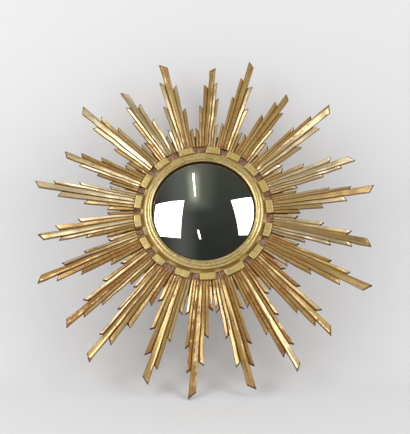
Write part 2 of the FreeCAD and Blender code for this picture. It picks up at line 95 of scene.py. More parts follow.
class Finish:
    def __init__(self, name):
        self.material = bpy.data.materials.new(name)
        self.material.use_nodes = True
        self.tree = self.material.node_tree
        self.shader = self.tree.nodes["Principled BSDF"]
        self.places = self.add("ShaderNodeTexCoord", out="Object")

    def add(self, kind, settings=None, sockets=None, out=0):
        node = self.tree.nodes.new(kind)
        for key, value in (settings or {}).items():
            setattr(node, key, value)
        for key, value in (sockets or {}).items():
            self.feed(node.inputs[key], value)
        return Wire(self, node.outputs[out])

    def feed(self, socket, value):
        if isinstance(value, Wire):
            self.tree.links.new(value.socket, socket)
        else:
            socket.default_value = value

    def mix(self, factor, first, second):
        first, second = ((*side, 1.0) if isinstance(side, tuple) else side for side in (first, second))
        return self.add("ShaderNodeMix", {"data_type": "RGBA"}, {0: factor, 6: first, 7: second}, out=2)

    def noise(self, scale=1.0, detail=2.0, rough=0.5, at=None, warp=0.0):
        sockets = {"Vector": at or self.places, "Scale": scale, "Detail": detail, "Roughness": rough,
                   "Distortion": warp}
        return self.add("ShaderNodeTexNoise", None, sockets)

    def ramp(self, value, low, high):
        sockets = {"Value": value, "From Min": low, "From Max": high}
        return self.add("ShaderNodeMapRange", {"interpolation_type": "SMOOTHSTEP"}, sockets)

    def parts(self, vector):
        whole = self.add("ShaderNodeSeparateXYZ", None, {0: vector})
        return [Wire(self, socket) for socket in whole.socket.node.outputs]

    def vector(self, x, y, z):
        return self.add("ShaderNodeCombineXYZ", None, {0: x, 1: y, 2: z})

    def attribute(self, name):
        return self.add("ShaderNodeAttribute", {"attribute_name": name}, out="Fac")

    def paint(self, **sockets):
        for key, value in sockets.items():
            value = (*value, 1.0) if isinstance(value, tuple) else value
            self.feed(self.shader.inputs[key.replace("_", " ")], value)

    def bump(self, height, strength, distance):
        sockets = {"Height": height, "Strength": strength, "Distance": distance}
        self.feed(self.shader.inputs["Normal"], self.add("ShaderNodeBump", None, sockets))


# Gold leaf over red-brown clay. It is rubbed through in flecks and at edges, and thin on the cut walls, where
# the bare clay is partly painted shade.
gilt = dict(
    rayLeaf=dict(pale=(0.83, 0.69, 0.41), deep=(0.68, 0.43, 0.065), olive=(0.63, 0.47, 0.08)),
    ringLeaf=dict(pale=(0.88, 0.73, 0.34), deep=(0.73, 0.49, 0.065), olive=(0.68, 0.52, 0.07)),
    blockLeaf=dict(pale=(0.94, 0.78, 0.38), deep=(0.82, 0.57, 0.10), olive=(0.76, 0.58, 0.09)),
    redGold=(0.49, 0.265, 0.05), bole=(0.18, 0.066, 0.013), dustyBole=(0.30, 0.15, 0.045),
    # The darkest brown below is dirt and painted shade; the bare tip brown is chipped wood and painted shade.
    dirtAndShade=(0.052, 0.023, 0.006), bareTipAndShade=(0.095, 0.058, 0.035), backWash=(0.33, 0.20, 0.09),
    seatBole=(0.13, 0.058, 0.032), seatDust=(0.50, 0.33, 0.20),
    leafSheen=0.88, varnish=1.0, varnishBlur=0.34, varnishIndex=2.15, bareShine=0.04, bareBlur=0.3,
    bumpStrength=0.6, bumpDepth=0.0007, bareSink=0.3,
    seat=0.130, seatLine=0.0006, rootEnd=0.165, bandCore=0.4, wallBareAndShade=0.6, wearBlend=0.07, redStart=0.22,
    grainRuns=(16.0, 70.0, 200.0), streakRuns=(40.0, 110.0),
    noises=dict(
        grain=dict(detail=3.0, rough=0.6), streaks=dict(detail=4.0, rough=0.65),
        patches=dict(scale=48.0, detail=4.0, rough=0.6, warp=0.4),
        flecks=dict(scale=330.0, detail=5.0, rough=0.68), clouds=dict(scale=17.0)),
    breaks=dict(    # how far each noise makes a value uneven
        rub=dict(flecks=0.6, patches=0.6, grain=0.8), sheen=dict(grain=0.6), walls=dict(flecks=0.7),
        edges=dict(flecks=0.7, grain=0.8), ground=dict(flecks=0.5), bands=dict(flecks=0.6),
        grimeAndShade=dict(flecks=0.5), tips=dict(flecks=0.6), seat=dict(flecks=0.7),
        blur=dict(flecks=0.22, patches=0.15), relief=dict(grain=0.5, flecks=0.8, patches=0.3)),
    masks=dict(     # where each mask begins and where it is full
        edges=(0.46, 0.76), dusty=(0.35, 0.7), pale=(0.30, 0.70), olive=(0.42, 0.68), grimeAndShade=(0.08, 0.72),
        seatDust=(0.43, 0.59), back=(0.6, 0.9), tips=(0.72, 0.88), seatLeaf=(0.56, 0.66)),
    shares=dict(
        edges=0.9, olive=0.35, redGold=0.8, seatLeaf=0.7, fleckSheen=0.5, toneSheen=0.6, toneRub=0.22,
        rootBaring=0.07, dustStreaks=0.6, dustFlecks=0.4),
    # Lines in the hollows, partly wear and partly painted shade: the collar's flange, the glass's edge
    # (darkened as painted shadow), the valley between the beads and the bezel's foot.
    collarBands=[dict(radius=0.1135, width=0.0032, share=0.5, paintedShade=0.0)],
    bezelBands=[dict(radius=0.0950, width=0.0014, share=1.1, paintedShade=0.85),
                dict(radius=0.1045, width=0.0009, share=0.65, paintedShade=0.0),
                dict(radius=0.1112, width=0.0012, share=0.7, paintedShade=0.0)],
)


# Tooth is how strongly flecks shade the leaf. Bands are lines round the axis where the clay shows in the
# hollows, partly wear and partly painted shade, and a band can be darkened further as painted shadow.
def giltFinish(name, tints, wear, roughness, steep, tooth=1.0, carved=False, bands=()):
    finish = Finish(name)
    noises, masks, shares = gilt["noises"], gilt["masks"], gilt["shares"]
    x, y, z = finish.parts(finish.places)
    reach = (x * x + z * z) ** 0.5
    turn = finish.add("ShaderNodeMath", {"operation": "ARCTAN2"}, {0: x, 1: z})
    outward, around, inward = gilt["grainRuns"]
    grainPlaces = finish.vector(reach * outward, turn * around, y * inward)
    grain = finish.noise(at=grainPlaces, **noises["grain"])
    patches = finish.noise(**noises["patches"])
    flecks = finish.noise(**noises["flecks"])
    clouds = finish.noise(**noises["clouds"])
    textures = dict(grain=grain, patches=patches, flecks=flecks)

    def broken(value, key):
        for texture, share in gilt["breaks"][key].items():
            value = value + (textures[texture] - 0.5) * share
        return value

    facing = -1.0 * finish.parts(finish.add("ShaderNodeNewGeometry", out="Normal"))[1]
    wall = 1 - finish.ramp(facing, *steep)
    rub = broken(0.5, "rub")
    sheen = broken(patches, "sheen") + (flecks - 0.5) * (shares["fleckSheen"] * tooth)
    if carved:
        tone = finish.attribute("leafTone")
        # More clay shows towards the roots beside the collar.
        roots = 1 - finish.ramp(reach, gilt["seat"], gilt["rootEnd"])
        rub = rub + (tone - 0.5) * shares["toneRub"] + roots * shares["rootBaring"]
        sheen = sheen + (0.5 - tone) * shares["toneSheen"]
    # Steep walls show bare clay, partly thin leaf and partly painted shade.
    bare = finish.ramp(rub, wear, wear + gilt["wearBlend"]) | wall * broken(gilt["wallBareAndShade"], "walls")
    edges = broken(finish.attribute("edgeWear"), "edges")
    bare = bare | finish.ramp(edges, *masks["edges"]) * shares["edges"]
    dusty = finish.ramp(broken(grain, "ground"), *masks["dusty"])
    ground = finish.mix(dusty, gilt["bole"], gilt["dustyBole"])
    # Each band bares the clay as wear and painted shade, and its darkening is painted shadow.
    for band in bands:
        away = abs(reach - band["radius"])
        line = 1 - finish.ramp(away, band["width"] * gilt["bandCore"], band["width"])
        line = line * broken(band["share"], "bands")
        ground = finish.mix(line * band["paintedShade"], ground, gilt["dirtAndShade"])
        bare = bare | line
    leaf = finish.mix(finish.ramp(sheen, *masks["pale"]), tints["deep"], tints["pale"])
    leaf = finish.mix(finish.ramp(clouds, *masks["olive"]) * shares["olive"], leaf, tints["olive"])
    thin = finish.ramp(rub, wear - gilt["redStart"], wear)
    leaf = finish.mix(thin * shares["redGold"], leaf, gilt["redGold"])
    if carved:
        # Dirt and painted shade darken the grooves between the strips.
        grimeAndShade = finish.ramp(broken(finish.attribute("grimeAndShade"), "grimeAndShade"), *masks["grimeAndShade"])
        ground = finish.mix(grimeAndShade, ground, gilt["dirtAndShade"])
        seat = 1 - finish.ramp(reach, gilt["seat"] - gilt["seatLine"], gilt["seat"])
        outward, around = gilt["streakRuns"]
        streaks = finish.noise(at=finish.vector(reach * outward, turn * around, 0.0), **noises["streaks"])
        dust = streaks * shares["dustStreaks"] + flecks * shares["dustFlecks"]
        seatGround = finish.mix(finish.ramp(dust, *masks["seatDust"]), gilt["seatBole"], gilt["seatDust"])
        ground = finish.mix(seat, ground, seatGround)
        ground = finish.mix(finish.ramp(-1.0 * facing, *masks["back"]), ground, gilt["backWash"])
        # Tip ends show bare chipped wood, darkened further as painted shade.
        chippedAndShaded = finish.ramp(broken(finish.attribute("tipWearAndShade"), "tips"), *masks["tips"])
        ground = finish.mix(chippedAndShaded, ground, gilt["bareTipAndShade"])
        seatLeaf = finish.ramp(broken(patches, "seat"), *masks["seatLeaf"]) * shares["seatLeaf"]
        bare = bare | grimeAndShade | seat * (1 - seatLeaf) | chippedAndShaded
    bare = bare & 1.0
    finish.paint(Base_Color=finish.mix(bare, leaf, ground), Metallic=(1 - bare) * gilt["leafSheen"],
                 Coat_Weight=(1 - bare) * gilt["varnish"], Coat_Roughness=gilt["varnishBlur"],
                 Coat_IOR=gilt["varnishIndex"], Specular_IOR_Level=gilt["bareShine"],
                 Roughness=broken(roughness, "blur") + bare * gilt["bareBlur"])
    finish.bump(broken(bare * -gilt["bareSink"], "relief"), gilt["bumpStrength"], gilt["bumpDepth"])
    return finish.material


silvering = dict(
    silver=(0.80, 0.83, 0.80), foxed=(0.2, 0.19, 0.17), rimStart=0.088, rim=0.0975, rimAge=0.14, cloudAge=0.2,
    spots=dict(scale=700.0), clouds=dict(scale=30.0, detail=3.0), foxing=(0.80, 0.88),
    polish=0.012, foxedBlur=0.2, cloudBlur=0.012,
)


def silveredGlass():
    finish = Finish("silveredGlass")
    x, z = finish.parts(finish.places)[::2]
    reach = (x * x + z * z) ** 0.5
    spots = finish.noise(**silvering["spots"])
    clouds = finish.noise(**silvering["clouds"])
    rim = finish.ramp(reach, silvering["rimStart"], silvering["rim"])
    age = spots + rim * silvering["rimAge"] + (clouds - 0.5) * silvering["cloudAge"]
    foxing = finish.ramp(age, *silvering["foxing"])
    blur = silvering["polish"] + foxing * silvering["foxedBlur"] + clouds * silvering["cloudBlur"]
    finish.paint(Base_Color=finish.mix(foxing, silvering["silver"], silvering["foxed"]),
                 Metallic=1.0, Roughness=blur)
    return finish.material


wood = dict(
    carrier=dict(light=(0.40, 0.26, 0.15), dark=(0.25, 0.15, 0.08)),
    board=dict(light=(0.30, 0.19, 0.10), dark=(0.16, 0.10, 0.055)),
    disc=dict(light=(0.24, 0.15, 0.09), dark=(0.17, 0.10, 0.06)),
    acrossRuns=95.0, alongRuns=5.0, poreRuns=6.0, grain=dict(detail=5.0, rough=0.6, warp=0.3),
    stains=dict(scale=11.0, detail=3.0, rough=0.6), poreTint=0.35, tinted=(0.3, 0.7), stained=(0.45, 0.75),
    stainShare=0.5, stainDark=0.5, blur=0.62, poreBlur=0.25, grainRelief=0.5, poreRelief=0.6,
    bumpStrength=0.45, bumpDepth=0.0005,
)


# Along is the axis that the grain follows: 0 is across the mirror, 2 is upwards.
def bareWood(name, tints, along=0):
    finish = Finish(name)
    runs = [wood["acrossRuns"]] * 3
    runs[along] = wood["alongRuns"]
    axes = finish.parts(finish.places)
    wide = finish.vector(*[axis * run for axis, run in zip(axes, runs)])
    fine = finish.vector(*[axis * run * wood["poreRuns"] for axis, run in zip(axes, runs)])
    grain = finish.noise(at=wide, **wood["grain"])
    pores = finish.noise(at=fine)
    stains = finish.ramp(finish.noise(**wood["stains"]), *wood["stained"])
    stain = tuple(share * wood["stainDark"] for share in tints["dark"])
    tint = finish.ramp(grain + (pores - 0.5) * wood["poreTint"], *wood["tinted"])
    colour = finish.mix(tint, tints["dark"], tints["light"])
    aged = finish.mix(stains * wood["stainShare"], colour, stain)
    finish.paint(Base_Color=aged, Roughness=wood["blur"] + (pores - 0.5) * wood["poreBlur"])
    relief = grain * wood["grainRelief"] + pores * wood["poreRelief"]
    finish.bump(relief, wood["bumpStrength"], wood["bumpDepth"])
    return finish.material


steel = dict(
    bright=(0.46, 0.44, 0.40), rust=(0.19, 0.10, 0.05), scratches=dict(scale=700.0, detail=4.0, rough=0.6),
    rustSpots=dict(scale=160.0, detail=5.0, rough=0.65), rusted=(0.55, 0.68), dull=0.7, blur=0.34,
    scratchBlur=0.3, rustBlur=0.3, rustSink=0.4, bumpStrength=0.3, bumpDepth=0.0003,
)


def agedSteel():
    finish = Finish("agedSteel")
    scratches = finish.noise(**steel["scratches"])
    rust = finish.ramp(finish.noise(**steel["rustSpots"]), *steel["rusted"])
    blur = steel["blur"] + (scratches - 0.5) * steel["scratchBlur"] + rust * steel["rustBlur"]
    finish.paint(Base_Color=finish.mix(rust, steel["bright"], steel["rust"]),
                 Metallic=1 - rust * steel["dull"], Roughness=blur)
    finish.bump(scratches - rust * steel["rustSink"], steel["bumpStrength"], steel["bumpDepth"])
    return finish.material


felt = dict(dark=(0.012, 0.011, 0.01), light=(0.05, 0.045, 0.04), blur=0.95,
            fibres=dict(scale=1500.0, detail=3.0, rough=0.7), bumpStrength=0.5, bumpDepth=0.0003)


def blackFelt():
    finish = Finish("blackFelt")
    fibres = finish.noise(**felt["fibres"])
    finish.paint(Base_Color=finish.mix(fibres, felt["dark"], felt["light"]), Roughness=felt["blur"])
    finish.bump(fibres, felt["bumpStrength"], felt["bumpDepth"])
    return finish.material


finishes = {
    "gilt_rays": giltFinish("giltRays", gilt["rayLeaf"], wear=0.645, roughness=0.36, steep=(0.62, 0.84),
                            carved=True),
    "gilt_collar": giltFinish("giltCollar", gilt["blockLeaf"], wear=0.66, roughness=0.46, steep=(0.35, 0.75),
                              tooth=2.2, bands=gilt["collarBands"]),
    "gilt_bezel": giltFinish("giltBezel", gilt["ringLeaf"], wear=0.72, roughness=0.30, steep=(-0.9, -0.6),
                             tooth=2.6, bands=gilt["bezelBands"]),
    "mirror_glass": silveredGlass(),
    "felt": blackFelt(),
    "bare_wood": bareWood("bareWood", wood["carrier"]),
    "stained_board": bareWood("stainedBoard", wood["board"], along=2),
    "hardboard": bareWood("hardboard", wood["disc"]),
    "steel": agedSteel(),
}
slotOf = {part["node"]: part["material_slot"] for part in frame["record"]["subparts"]}
for name, node in nodes.items():
    node.data.materials.clear()
    node.data.materials.append(finishes[slotOf[name]])
print("finishes made:", len(finishes))


# A merged copy of a CAD piece with its flat triangles joined into whole faces.
def benchCopy(node, weld=0.00002, flat=0.6):
    shape = bmesh.new()
    shape.from_mesh(nodes[node].data)
    bmesh.ops.remove_doubles(shape, verts=shape.verts, dist=weld)
    bmesh.ops.dissolve_limit(shape, angle_limit=math.radians(flat), verts=shape.verts, edges=shape.edges)
    return shape


def hang(shape, name, node, body="frame", crease=24.0):
    bmesh.ops.triangulate(shape, faces=[face for face in shape.faces if len(face.verts) > 4])
    for face in shape.faces:
        face.smooth = True
    mesh = bpy.data.meshes.new(name)
    shape.to_mesh(mesh)
    shape.free()
    mesh.set_sharp_from_angle(angle=math.radians(crease))
    mesh.materials.append(finishes[slotOf[node]])
    piece = bpy.data.objects.new(name, mesh)
    scene.collection.objects.link(piece)
    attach(piece, body)
    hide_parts(node)


def reachOf(place):
    return math.hypot(place.x, place.z)


# How near to the axis an edge or a face comes.
def innerReach(part):
    return min(reachOf(vert.co) for vert in part.verts)


def eased(value, low, high):
    share = min(1.0, max(0.0, (value - low) / (high - low)))
    return share * share * (3 - 2 * share)


# Adds a line of edges all round a shape where a plane cuts it, and can drop the far side.
def cutThrough(shape, place, way, dropFar=False):
    everything = shape.verts[:] + shape.edges[:] + shape.faces[:]
    bmesh.ops.bisect_plane(shape, geom=everything, plane_co=place, plane_no=way, clear_outer=dropFar)


# Each ray bundle is carved from its CAD blank: chamfered tips, worn shoulders, softened crests, knife cuts.
carving = dict(
    draw="b", station=0.0045, stationSpread=(0.8, 1.2), tipChamfer=0.0016, shoulder=0.0014,
    crestRound=0.0005, crestClear=0.0020, closeUp=0.00045, sliver=0.0001125, concave=0.2, sharp=0.45,
    tilt=0.24, twist=2.4, lift=0.0005, waver=0.0008, waverSize=0.020, chatter=0.00012, chatterSize=0.0045,
    sway=0.0010, swaySize=0.030, swayShift=7, lowDarkening=0.45, lowFlat=0.09,
    chip=0.0010, chipSize=0.003, chipMore=0.2, chipBack=0.6, rootStart=0.1315, rootEnd=0.150, riseEnd=0.006,
    rootWall=-0.7, flatFront=-0.995, frontFace=-0.5, backFace=0.5, tipAhead=0.5, tipUpright=0.3,
)
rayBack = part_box(bundleNames[0])[1].y


# The faces of each strip, parted at the grooves.
def stripGroups(shape):
    waiting = set()
    for face in shape.faces:
        outward = face.calc_center_median()
        outward.y = 0
        atRoot = face.normal.dot(outward.normalized()) < carving["rootWall"]
        if carving["flatFront"] < face.normal.y < carving["backFace"] and not atRoot:
            waiting.add(face)
    groups = []
    for seed in shape.faces:
        if seed not in waiting:
            continue
        group, front = [seed], [seed]
        waiting.discard(seed)
        while front:
            for edge in front.pop().edges:
                if edge.calc_face_angle_signed(0.0) > -carving["concave"]:
                    fresh = [face for face in edge.link_faces if face in waiting]
                    waiting.difference_update(fresh)
                    group += fresh
                    front += fresh
        groups.append(group)
    return groups


# The line that a strip follows: its middle and the way from its root to its tip.
def stripLine(group):
    places = {vert: vert.co for face in group for vert in face.verts}.values()
    middle = sum(places, Vector()) / len(places)
    outward = Vector((middle.x, 0, middle.z)).normalized()
    way = Vector()
    for place in places:
        step = place - middle
        way += step if step.dot(outward) > 0 else -step
    way.y = 0
    return middle, way.normalized()


def carveBundle(name):
    luck = random.Random(name + carving["draw"])
    shape = benchCopy(name)
    strip = shape.faces.layers.int.new("strip")
    tone = shape.faces.layers.float.new("leafTone")
    tipFace = shape.faces.layers.int.new("tipFace")
    low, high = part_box(name)
    heading = Vector((low.x + high.x, 0, low.z + high.z)).normalized()
    sideways = Vector((heading.z, 0, -heading.x))
    lines = sorted(((stripLine(group), group) for group in stripGroups(shape)),
                   key=lambda pair: pair[0][0].normalized().dot(sideways))
    ends = []
    cuts = {}
    lowness = max(0.0, -heading.z)
    for number, ((middle, way), group) in enumerate(lines, 1):
        across = Vector((way.z, 0, -way.x))
        side = (number * 2 > len(lines) + 1) - (number * 2 < len(lines) + 1)
        tilt = luck.gauss(0, carving["tilt"]) + carving["lowFlat"] * lowness * side
        twist = luck.gauss(0, carving["twist"])
        cuts[number] = (middle, way, across, tilt, twist, luck.gauss(0, carving["lift"]))
        # Lower bundles get darker, duller leaf: darker towards the bottom.
        leafTone = luck.random() + carving["lowDarkening"] * lowness
        for face in group:
            face[strip] = number
            face[tone] = leafTone
            if face.normal.dot(way) > carving["tipAhead"] and abs(face.normal.y) < carving["tipUpright"]:
                face[tipFace] = 1
                ends.append(face)
    endEdges = {edge for face in ends for edge in face.edges
                if any(other.normal.y < carving["frontFace"] for other in edge.link_faces)}
    chamfered = bmesh.ops.bevel(shape, geom=list(endEdges), offset=carving["tipChamfer"], affect="EDGES",
                                segments=1, profile=0.5, material=-1, clamp_overlap=True)
    for face in chamfered["faces"]:
        face[tipFace] = 1
    # A narrow shoulder round the largest front face of each strip keeps the wear beside its edges.
    tops = {}
    for face in sorted(shape.faces, key=lambda one: one.calc_area()):
        if face[strip] and face.normal.y < carving["frontFace"] and not face[tipFace]:
            tops[face[strip]] = face
    bmesh.ops.inset_individual(shape, faces=list(tops.values()), thickness=carving["shoulder"],
                               use_even_offset=True)

    tipEnd = max(vert.co.dot(heading) for vert in shape.verts)
    station = carving["rootStart"] + carving["station"]
    while station < tipEnd:
        cutThrough(shape, heading * station, heading)
        station += carving["station"] * luck.uniform(*carving["stationSpread"])
    free = [vert for vert in shape.verts if reachOf(vert.co) > carving["rootStart"]]
    bmesh.ops.remove_doubles(shape, verts=free, dist=carving["closeUp"])
    bmesh.ops.dissolve_degenerate(shape, edges=shape.edges, dist=carving["sliver"])
    # The tip ends are marked for bare chipped wood and painted shade.
    tipWearAndShade = shape.verts.layers.float.new("tipWearAndShade")
    # The grooves between strips are marked for dirt and painted shade.
    grimeAndShade = shape.verts.layers.float.new("grimeAndShade")
    edgeWear = shape.verts.layers.float.new("edgeWear")
    for vert in shape.verts:
        vert[tipWearAndShade] = max(face[tipFace] for face in vert.link_faces)
        turns = [edge.calc_face_angle_signed(0.0) for edge in vert.link_edges]
        vert[grimeAndShade] = min(turns) < -carving["concave"]
        vert[edgeWear] = max(turns) > carving["sharp"]
    crests = [edge for edge in shape.edges if edge.calc_face_angle_signed(0.0) > carving["sharp"]
              and innerReach(edge) > carving["rootStart"]
              and max(vert.co.y for vert in edge.verts) < rayBack - carving["crestClear"]]
    bmesh.ops.bevel(shape, geom=crests, offset=carving["crestRound"], affect="EDGES", segments=1,
                    profile=0.5, material=-1, clamp_overlap=True)
    # Corners left with two edges would fold over when their faces are split into triangles.
    bmesh.ops.dissolve_verts(shape, verts=[vert for vert in shape.verts if len(vert.link_edges) == 2])

    moves = {}
    for vert in shape.verts:
        place = vert.co
        numbers = {face[strip] for face in vert.link_faces} - {0}
        rise = eased(rayBack - place.y, 0.0, carving["riseEnd"])
        lift = carving["waver"] * noise.noise(place / carving["waverSize"])
        lift += carving["chatter"] * noise.noise(place / carving["chatterSize"])
        for number in numbers:
            middle, way, across, tilt, twist, step = cuts[number]
            slope = tilt + twist * (place - middle).dot(way)
            lift += (step + (place - middle).dot(across) * slope) / len(numbers)
        sway = carving["sway"] * noise.noise(place / carving["swaySize"] + heading * carving["swayShift"])
        move = Vector((0, -lift * rise, 0)) + sideways * sway
        if vert[tipWearAndShade] > 0.5:
            bite = max(0.0, noise.noise(place / carving["chipSize"]) + carving["chipMore"])
            move += (Vector((0, rise, 0)) - heading * carving["chipBack"]) * carving["chip"] * bite
        moves[vert] = move * eased(reachOf(place), carving["rootStart"], carving["rootEnd"])
    for vert, move in moves.items():
        vert.co += move
    hang(shape, "carved_" + name, name)


for name in bundleNames:
    carveBundle(name)
print("rays carved:", len(bundleNames))

# The turned bezel: a large bead beside the glass, a small bead outside it, both finished by hand.
bead = dict(
    sight=0.095, split=0.1045, outer=0.111, rebate=0.1006, foot=0.030, smallFoot=0.0375, valley=0.0422,
    largeFoot=0.041, smallRise=0.0020, largeRise=0.0028, sightLip=0.03905, rebateLip=0.03657,
    arcSteps=12, turns=220, crease=40.0, waver=0.00022, waverSize=0.022, dent=0.00016, dentSize=0.005,
    trueFoot=0.004,
)


# Points along an arc that rises to the right of the way from one corner of a section to the next.
def bowed(start, end, rise, steps):
    start, end = Vector(start), Vector(end)
    half = (end - start) / 2
    radius = (half.length_squared + rise * rise) / (2 * rise)
    middle = start + half + half.orthogonal().normalized() * (radius - rise)
    sweep = 2 * math.asin(half.length / radius)
    return [middle + Matrix.Rotation(sweep * step / steps, 2) @ (start - middle) for step in range(steps + 1)]


# Spins a half section, given as distances from the axis and heights off the wall, into a whole ring.
def spinSection(section, turns, closed=True, at=(0, 0, 0), weld=0.000001):
    shape = bmesh.new()
    line = [shape.verts.new(Vector((reach, -height, 0)) + Vector(at)) for reach, height in section]
    pairs = list(zip(line, line[1:])) + ([(line[-1], line[0])] if closed else [])
    edges = [shape.edges.new(pair) for pair in pairs]
    bmesh.ops.spin(shape, geom=line + edges, cent=at, axis=(0, 1, 0), angle=2 * math.pi, steps=turns,
                   use_merge=True)
    bmesh.ops.remove_doubles(shape, verts=shape.verts, dist=weld)
    bmesh.ops.recalc_face_normals(shape, faces=shape.faces)
    return shape


def makeBezel():
    valley = (bead["split"], bead["valley"])
    section = [(bead["rebate"], bead["foot"]), (bead["outer"], bead["foot"])]
    section += bowed((bead["outer"], bead["smallFoot"]), valley, bead["smallRise"], bead["arcSteps"])
    section += bowed(valley, (bead["sight"], bead["largeFoot"]), bead["largeRise"], bead["arcSteps"])
    section += [(bead["sight"], bead["sightLip"]), (bead["rebate"], bead["rebateLip"])]
    shape = spinSection(section, bead["turns"])
    for vert in shape.verts:
        free = eased(-vert.co.y, bead["foot"] + bead["trueFoot"], bead["valley"])
        wave = bead["waver"] * noise.noise(vert.co / bead["waverSize"])
        wave += bead["dent"] * noise.noise(vert.co / bead["dentSize"])
        vert.co += vert.normal * wave * free
    hang(shape, "turnedBezel", "bezel_ring", crease=bead["crease"])


makeBezel()

# The glass: a thin slice of a ball that bulges towards the room.
glass = dict(curve=0.240, thick=0.003, radius=0.100, front=-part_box("convex_mirror")[0].y, steps=36, turns=180,
             crease=40.0)


def makeGlass():
    def capLine(curve, top):
        reaches = [glass["radius"] * step / glass["steps"] for step in range(glass["steps"] + 1)]
        return [(reach, top - curve + math.sqrt(curve ** 2 - reach ** 2)) for reach in reaches]

    front = capLine(glass["curve"], glass["front"])
    back = capLine(glass["curve"] - glass["thick"], glass["front"] - glass["thick"])
    shape = spinSection(front + back[::-1], glass["turns"], closed=False)
    hang(shape, "bulgedGlass", "convex_mirror", crease=glass["crease"])


makeGlass()
print("bezel and glass turned")

# The collar's blocks are softened, worn at their edges, knocked about and left uneven.
blocks = dict(
    weld=0.00005, shoulder=0.0018, column=4.0, edgeRound=0.0006, edgeSteps=2, sharp=0.9, frontFace=-0.9,
    foot=0.0265, trueFoot=0.004, trueBore=0.002, waver=0.0005, waverSize=0.014, dent=0.00022, dentSize=0.004,
    crease=32.0,
)


def makeCollar():
    shape = benchCopy("dentil_collar", weld=blocks["weld"])
    fronts = [face for face in shape.faces if face.normal.y < blocks["frontFace"]
              and face.calc_center_median().y < -blocks["foot"] and innerReach(face) > bead["outer"]]
    outline = {vert for face in fronts for vert in face.verts}
    bmesh.ops.inset_individual(shape, faces=fronts, thickness=blocks["shoulder"], use_even_offset=True)
    edgeWear = shape.verts.layers.float.new("edgeWear")
    for vert in shape.verts:
        vert[edgeWear] = vert in outline
    edges = [edge for edge in shape.edges if edge.calc_face_angle_signed(0.0) > blocks["sharp"]
             and innerReach(edge) > bead["outer"] and max(vert.co.y for vert in edge.verts) < -blocks["foot"]]
    bmesh.ops.bevel(shape, geom=edges, offset=blocks["edgeRound"], affect="EDGES",
                    segments=blocks["edgeSteps"], profile=0.5, material=-1, clamp_overlap=False)
    turn = 0.0
    while turn < 180.0:
        across = Vector((math.cos(math.radians(turn)), 0, math.sin(math.radians(turn))))
        cutThrough(shape, (0, 0, 0), across)
        turn += blocks["column"]
    for vert in shape.verts:
        free = eased(-vert.co.y, blocks["foot"], blocks["foot"] + blocks["trueFoot"])
        free *= eased(reachOf(vert.co), bead["outer"], bead["outer"] + blocks["trueBore"])
        wave = blocks["waver"] * noise.noise(vert.co / blocks["waverSize"])
        wave += blocks["dent"] * noise.noise(vert.co / blocks["dentSize"])
        vert.co += vert.normal * wave * free
    hang(shape, "blockCollar", "dentil_collar", crease=blocks["crease"])


makeCollar()
print("collar made")

# Countersunk screws, each with its slot left at its own turn.
screws = dict(
    head=0.0032, rim=0.00025, depth=0.0019, shank=0.0015, slot=0.0009, slotDepth=0.0011, headFace=0.5,
    turns=32, boardCircle=0.113, boardCount=6, boardLength=0.016, hangerHeights=(0.144, 0.134),
    hangerLength=0.0092,
)


def makeScrews(name, node, places, length):
    luck = random.Random(node)
    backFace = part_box(node)[1].y
    halfSlot = screws["slot"] / 2
    head, rim, shank = screws["head"], screws["rim"], screws["shank"]
    section = [(0, 0), (head, rim / 2), (head, rim), (shank, screws["depth"]), (shank, length - shank),
               (0, length)]
    everyScrew = bmesh.new()
    for x, z in places:
        screw = spinSection(section, screws["turns"], closed=False)
        for side in (-halfSlot, halfSlot):
            cutThrough(screw, (side, 0, 0), (1, 0, 0))
        slot = [face for face in screw.faces if face.normal.y > screws["headFace"]
                and abs(face.calc_center_median().x) < halfSlot]
        sunk = bmesh.ops.extrude_face_region(screw, geom=slot)["geom"]
        bmesh.ops.delete(screw, geom=slot, context="FACES_KEEP_BOUNDARY")
        corners = [item for item in sunk if isinstance(item, bmesh.types.BMVert)]
        bmesh.ops.translate(screw, verts=corners, vec=(0, -screws["slotDepth"], 0))
        bmesh.ops.recalc_face_normals(screw, faces=screw.faces)
        place = Matrix.Translation((x, backFace, z)) @ Matrix.Rotation(luck.uniform(0, math.pi), 4, "Y")
        bmesh.ops.transform(screw, matrix=place, verts=screw.verts)
        part = bpy.data.meshes.new("screw")
        screw.to_mesh(part)
        screw.free()
        everyScrew.from_mesh(part)
        bpy.data.meshes.remove(part)
    hang(everyScrew, name, node)


boardTurns = [2 * math.pi * step / screws["boardCount"] for step in range(screws["boardCount"])]
circle = screws["boardCircle"]
boardPlaces = [(circle * math.sin(turn), circle * math.cos(turn)) for turn in boardTurns]
hangerPlaces = [(0, height) for height in screws["hangerHeights"]]
makeScrews("slottedBoardScrews", "board_screws", boardPlaces, screws["boardLength"])
makeScrews("slottedHangerScrews", "hanger_screws", hangerPlaces, screws["hangerLength"])

# The hanging ring is a bent wire.
wire = dict(radius=0.011, halfThick=0.0015, middle=0.139, level=0.0042, steps=16, turns=72)
wireTurns = [2 * math.pi * step / wire["steps"] for step in range(wire["steps"])]
half = wire["halfThick"]
wireSection = [(wire["radius"] + half * math.cos(turn), wire["level"] + half * math.sin(turn))
               for turn in wireTurns]
bentRing = spinSection(wireSection, wire["turns"], at=(0, 0, wire["middle"]))
hang(bentRing, "bentRing", "hanger_ring", body="ring")

